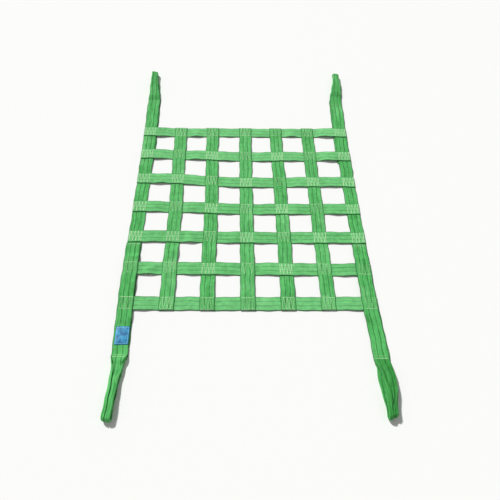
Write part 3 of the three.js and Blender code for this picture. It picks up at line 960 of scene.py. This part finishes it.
def webbing_material(settings):
    """Woven polyester webbing: matt, with a little sheen, streaked along its yarns by the dye and by wear.
    Light and dark bands, two darker marker lines, painted shade on the woven edges and eyes, melted ends."""
    name = "woven_polyester_webbing"
    if name in bpy.data.materials:
        return bpy.data.materials[name]
    finish = {"Roughness": 0.82, "IOR": 1.5, "Specular IOR Level": 0.25, "Sheen Weight": 0.06}
    material, tree, shader = new_material(name, finish)
    add = partial(add_node, tree)
    place = add("UVMap", {"uv_map": STRAP_MAP})
    body = add("TexCoord", out="Object")
    paling, painted_eye_shade, turned, cut_end = (
        add("Attribute", {"attribute_name": attribute}, out="Fac")
        for attribute in (TONE, EYE_SHADE_ATTRIBUTE, TURNED, CUT_END)
    )

    # The yarns are finer than a pixel, so the streaks are bands of several yarns.
    stretch = (1 / settings.streak_width, 1 / settings.streak_length, 1.0)
    bands = add("Mapping", {"Scale": stretch}, {"Vector": place})
    streaks = add("TexNoise", {"Scale": 1.0, "Detail": 3.0}, {"Vector": bands})
    light_share = add("MapRange", {**SOFT, "From Min": 0.32, "From Max": 0.66}, {"Value": streaks})

    # Faded and soiled patches, painted shade on the eyes, deeper on the dark yarns, and light and dark spots
    patches = add("TexNoise", {"Scale": 1 / settings.patch_size, "Detail": 3.0}, {"Vector": body})
    fading = {**SOFT, "From Min": 0.52, "From Max": 0.75, "To Max": 0.4}
    faded_share = add("MapRange", fading, {"Value": patches})
    soiling = {**SOFT, "From Min": 0.46, "From Max": 0.25, "To Max": 0.35}
    soiled_share = add("MapRange", soiling, {"Value": patches})
    # Painted shade on the eyes, deeper on the dark yarns, joined with the soiled patches
    hold = add("MapRange", {"To Min": 1.1, "To Max": 0.6}, {"Value": light_share})
    eye_shading = add("Math", {"operation": "MULTIPLY"}, {0: painted_eye_shade, 1: hold})
    dirt_and_shade_share = add("Math", {"operation": "MAXIMUM"}, {0: soiled_share, 1: eye_shading})
    spots = add("TexNoise", {"Scale": 1 / settings.mottle_size, "Detail": 2.0}, {"Vector": body})
    lightening = {**NOISE_MIDDLE, "To Min": 0.87, "To Max": 1.1}
    brightness = add("MapRange", lightening, {"Value": spots})

    # Marker lines, which show less in light spots and on paled straps, painted shade along the woven edges
    # where they aren't turned in, and heat-cut ends
    across = add("SeparateXYZ", None, {"Vector": place}, "X")
    outward = add("Math", {"operation": "ABSOLUTE"}, {0: across})
    from_line = add("Math", {"operation": "SUBTRACT", 1: settings.line_offset}, {0: outward})
    beside_line = add("Math", {"operation": "ABSOLUTE"}, {0: from_line})
    in_spots = add("MapRange", {**NOISE_MIDDLE, "To Min": 0.95, "To Max": 0.65}, {"Value": spots})
    when_paled = add("MapRange", {"From Max": 0.5, "To Min": 1.0, "To Max": 0.55}, {"Value": paling})
    line_strength = add("Math", {"operation": "MULTIPLY"}, {0: in_spots, 1: when_paled})
    lining = {**SOFT, "From Max": 0.7 * settings.line_width, "To Max": 0.0}
    line_share = add("MapRange", lining, {"Value": beside_line, "To Min": line_strength})
    # Painted shade along the woven edges, left off where the edges are turned in
    edge_shade_strength = add("MapRange", {"To Min": 1.0, "To Max": 0.0}, {"Value": turned})
    edge_shading = {**SOFT, "From Min": HALF_WIDTH - settings.edge_shade_width, "From Max": HALF_WIDTH - 0.5 * MM}
    edge_shade_share = add("MapRange", edge_shading, {"Value": outward, "To Max": edge_shade_strength})
    sealed_share = add("MapRange", {"From Min": 0.55}, {"Value": cut_end})

    dyes = {**COLOURS, MIX_FIRST: settings.shade_colour, MIX_SECOND: settings.colour}
    colour = add("Mix", dyes, {MIX_FACTOR: light_share}, MIX_RESULT)
    # Paled straps, faded patches, then the soiled patches together with the painted shade on the eyes
    wear_and_shade_colours = settings.paled_colour, settings.faded_colour, settings.dirt_and_shade_colour
    for share, layer in zip((paling, faded_share, dirt_and_shade_share), wear_and_shade_colours):
        over = {**COLOURS, MIX_SECOND: layer}
        colour = add("Mix", over, {MIX_FACTOR: share, MIX_FIRST: colour}, MIX_RESULT)
    colour = add("HueSaturation", None, {"Color": colour, "Value": brightness})
    # Marker lines, the painted edge shade and the sealed ends, laid over the colour
    mark_and_shade_colours = settings.line_colour, settings.edge_shade_colour, settings.sealed_colour
    for share, layer in zip((line_share, edge_shade_share, sealed_share), mark_and_shade_colours):
        over = {**COLOURS, MIX_SECOND: layer}
        colour = add("Mix", over, {MIX_FACTOR: share, MIX_FIRST: colour}, MIX_RESULT)
    tree.links.new(colour, shader.inputs["Base Color"])

    # The weave is drawn four times as coarse as it is, so that it shows.
    weave = {"bands_direction": "Y", "Scale": WAVE_TURN / settings.weave_pitch}
    picks = add("TexWave", weave, {"Vector": place}, "Fac")
    surface = add("Math", {"operation": "ADD"}, {0: picks, 1: streaks})
    bump = add("Bump", {"Strength": 0.6, "Distance": 0.3 * MM}, {"Height": surface})
    tree.links.new(bump, shader.inputs["Normal"])
    return material


def thread_material(settings):
    """Twisted polyester sewing thread: slightly glossy, pale where it lies on top of the weave."""
    name = "polyester_sewing_thread"
    if name in bpy.data.materials:
        return bpy.data.materials[name]
    material, tree, shader = new_material(name, {"Roughness": 0.55, "IOR": 1.5, "Sheen Weight": 0.1})
    add = partial(add_node, tree)
    pale = add("Attribute", {"attribute_name": PALE}, out="Fac")
    tone = add("Attribute", {"attribute_name": TONE}, out="Fac")
    dyes = {**COLOURS, MIX_FIRST: settings.deep_colour, MIX_SECOND: settings.pale_colour}
    colour = add("Mix", dyes, {MIX_FACTOR: pale}, MIX_RESULT)
    light = add("MapRange", {"To Min": 0.82, "To Max": 1.04}, {"Value": tone})
    toned = add("HueSaturation", None, {"Color": colour, "Value": light})
    tree.links.new(toned, shader.inputs["Base Color"])
    return material


def label_material(settings):
    """Coated polyester label: smooth and glossy, so that its creases catch the light, with a paler frame."""
    finish = {"Roughness": 0.35, "IOR": 1.5, "Specular IOR Level": 0.3}
    material, tree, shader = new_material("coated_polyester_label", finish)
    add = partial(add_node, tree)
    place = add("UVMap", {"uv_map": LABEL_MAP})
    rubbed = add("TexNoise", {"Scale": 1 / settings.rub_size, "Detail": 4.0}, {"Vector": place})
    rubbed_share = add("MapRange", {**SOFT, "From Min": 0.35, "From Max": 0.68}, {"Value": rubbed})
    inks = {**COLOURS, MIX_FIRST: settings.deep_colour, MIX_SECOND: settings.colour}
    printed = add("Mix", inks, {MIX_FACTOR: rubbed_share}, MIX_RESULT)
    distance = add("Attribute", {"attribute_name": EDGE_DISTANCE}, out="Fac")
    from_frame = add("Math", {"operation": "SUBTRACT", 1: settings.frame_inset}, {0: distance})
    beside_frame = add("Math", {"operation": "ABSOLUTE"}, {0: from_frame})
    lining = {**SOFT, "From Max": settings.frame_width, "To Min": 0.75, "To Max": 0.0}
    frame_share = add("MapRange", lining, {"Value": beside_frame})
    framing = {**COLOURS, MIX_SECOND: settings.frame_colour}
    framed = add("Mix", framing, {MIX_FACTOR: frame_share, MIX_FIRST: printed}, MIX_RESULT)
    tree.links.new(framed, shader.inputs["Base Color"])
    creases = add("TexNoise", {"Scale": 1 / settings.crease_size, "Detail": 2.0}, {"Vector": place})
    relief = {"Strength": 0.8, "Distance": settings.crease_depth}
    tree.links.new(add("Bump", relief, {"Height": creases}), shader.inputs["Normal"])
    return material


def floor_material(settings):
    """Pale matt paint."""
    finish = {"Base Color": settings.floor_colour, "Roughness": 0.9, "Specular IOR Level": 0.2}
    return new_material("pale_matt_paint", finish)[0]


# Pieces and stage

class NET_OT_outer_straps(bpy.types.Operator):
    """Lay the two outer straps with their legs and eyes"""

    bl_idname = "lifting_net.outer_straps"
    bl_label = "Outer straps"

    def execute(self, context):
        for side in SIDE_COLUMN:
            outer_strap(side, context.scene.net_webbing)
        return {"FINISHED"}


class NET_OT_lengthwise_straps(bpy.types.Operator):
    """Lay the inner lengthwise straps"""

    bl_idname = "lifting_net.lengthwise_straps"
    bl_label = "Lengthwise straps"

    def execute(self, context):
        for column in INNER_COLUMNS:
            lengthwise_strap(column, context.scene.net_webbing)
        return {"FINISHED"}


class NET_OT_cross_straps(bpy.types.Operator):
    """Weave the cross straps over and under the lengthwise ones"""

    bl_idname = "lifting_net.cross_straps"
    bl_label = "Cross straps"

    def execute(self, context):
        for row in ROWS:
            cross_strap(row, context.scene.net_webbing)
        return {"FINISHED"}


class NET_OT_crossing_stitching(bpy.types.Operator):
    """Sew a zigzag over each crossing"""

    bl_idname = "lifting_net.crossing_stitching"
    bl_label = "Crossing stitching"

    def execute(self, context):
        settings = context.scene.net_stitching
        for name, side in (("thread_zigzags_upper", 1), ("thread_zigzags_under", -1)):
            chance = random.Random(name)
            stitches = []
            for row in ROWS:
                for column in COLUMNS:
                    stitches += crossing_stitches(row, column, side, settings, chance)
            sew(name, stitches, settings, seed=side + 1)
        return {"FINISHED"}


class NET_OT_leg_stitching(bpy.types.Operator):
    """Sew the rows at the eyes' roots and at the tails' ends"""

    bl_idname = "lifting_net.leg_stitching"
    bl_label = "Leg stitching"

    def execute(self, context):
        settings = context.scene.net_stitching
        sew("thread_leg_rows", leg_stitches(settings), settings, seed=1)
        return {"FINISHED"}


class NET_OT_label(bpy.types.Operator):
    """Lay the bare label on the near left leg"""

    bl_idname = "lifting_net.label"
    bl_label = "Label"

    def execute(self, context):
        settings = context.scene.net_label
        middle = (LABEL_LOW + LABEL_HIGH) / 2
        width, length, _ = LABEL_HIGH - LABEL_LOW
        bm = bmesh.new()
        bmesh.ops.create_grid(bm, x_segments=LABEL_COLUMNS, y_segments=LABEL_ROWS, size=0.5)
        bmesh.ops.scale(bm, vec=(width, length, 1.0), verts=bm.verts)
        corners = [vert for vert in bm.verts if len(vert.link_edges) == 2]
        bmesh.ops.bevel(
            bm, geom=corners, offset=settings.corner, affect="VERTICES", segments=4, profile=0.5, material=-1
        )
        label_map = bm.loops.layers.uv.new(LABEL_MAP)
        edge_distance = bm.verts.layers.float.new(EDGE_DISTANCE)
        for vert in bm.verts:
            x, y, _ = vert.co
            vert[edge_distance] = min(width / 2 - abs(x), length / 2 - abs(y))
            for loop in vert.link_loops:
                loop[label_map].uv = x, y
            crown = (1 - (2 * x / width) ** 2) * (1 - (2 * y / length) ** 2)
            height = LABEL_LOW.z + settings.thickness / 2 + settings.bulge * crown
            vert.co = middle.x + x, middle.y + y, height
        label = new_object("sewn_label", mesh_of(bm, "sewn_label"))
        add_modifier(label, "Thickness", "SOLIDIFY", thickness=settings.thickness, offset=0.0)
        label.data.materials.append(label_material(settings))
        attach(label, "root")
        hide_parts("label")
        return {"FINISHED"}


class NET_OT_stage(bpy.types.Operator):
    """Set up the floor, the light and the camera"""

    bl_idname = "lifting_net.stage"
    bl_label = "Stage"

    def execute(self, context):
        settings = context.scene.net_stage
        bm = bmesh.new()
        bmesh.ops.create_grid(bm, x_segments=1, y_segments=1, size=settings.floor_size / 2)
        bmesh.ops.translate(bm, vec=(0.0, 0.0, CAD_LOW.z - FLOOR_DROP), verts=bm.verts)
        floor = new_object("floor", mesh_of(bm, "floor"))
        floor.data.materials.append(floor_material(settings))

        sun = bpy.data.lights.new("key_light", "SUN")
        sun.energy = settings.key_strength
        sun.angle = settings.key_softness
        key = new_object("key_light", sun)
        turn, height = settings.key_turn, settings.key_height
        flat = math.cos(height)
        source = Vector((-math.sin(turn) * flat, math.cos(turn) * flat, math.sin(height)))
        key.rotation_euler = (-source).to_track_quat("-Z", "Y").to_euler()

        world = bpy.data.worlds.new("soft_light")
        world.use_nodes = True
        sky = world.node_tree.nodes["Background"].inputs
        sky["Color"].default_value = (1.0, 1.0, 1.0, 1.0)
        sky["Strength"].default_value = settings.sky_strength
        context.scene.world = world
        context.scene.view_settings.view_transform = "Standard"

        lens = bpy.data.cameras.new("camera")
        lens.lens = settings.lens
        camera = new_object("camera", lens)
        turn = Matrix.Rotation(-settings.camera_turn, 4, "Z")
        tilt = Matrix.Rotation(math.pi / 2 - settings.camera_tilt, 4, "X")
        roll = Matrix.Rotation(settings.camera_roll, 4, "Z")
        camera.matrix_world = Matrix.Translation(settings.camera_place) @ turn @ tilt @ roll
        context.scene.camera = camera
        return {"FINISHED"}


PIECE_OPERATORS = [
    NET_OT_outer_straps,
    NET_OT_lengthwise_straps,
    NET_OT_cross_straps,
    NET_OT_crossing_stitching,
    NET_OT_leg_stitching,
    NET_OT_label,
    NET_OT_stage,
]
SETTINGS = {
    "net_webbing": WebbingSettings,
    "net_stitching": StitchSettings,
    "net_label": LabelSettings,
    "net_stage": StageSettings,
}


class NET_PT_lifting_net(bpy.types.Panel):
    """Sidebar panel with the net's settings and the operators that make it"""

    bl_idname = "NET_PT_lifting_net"
    bl_label = "Lifting net"
    bl_space_type = "VIEW_3D"
    bl_region_type = "UI"
    bl_category = "Lifting net"

    def draw(self, context):
        for name, group in SETTINGS.items():
            box = self.layout.box()
            for setting in group.__annotations__:
                box.prop(getattr(context.scene, name), setting)
        for operator in PIECE_OPERATORS:
            self.layout.operator(operator.bl_idname)


def register():
    for group in (*SETTINGS.values(), *PIECE_OPERATORS, NET_PT_lifting_net):
        bpy.utils.register_class(group)
    for name, group in SETTINGS.items():
        setattr(bpy.types.Scene, name, PointerProperty(type=group))


def unregister():
    for name in SETTINGS:
        delattr(bpy.types.Scene, name)
    for group in (NET_PT_lifting_net, *reversed(PIECE_OPERATORS), *SETTINGS.values()):
        bpy.utils.unregister_class(group)


def main():
    register()
    bpy.ops.lifting_net.outer_straps()
    bpy.ops.lifting_net.lengthwise_straps()
    bpy.ops.lifting_net.cross_straps()
    bpy.ops.lifting_net.crossing_stitching()
    bpy.ops.lifting_net.leg_stitching()
    bpy.ops.lifting_net.label()
    bpy.ops.lifting_net.stage()


if __name__ == "__main__":
    main()
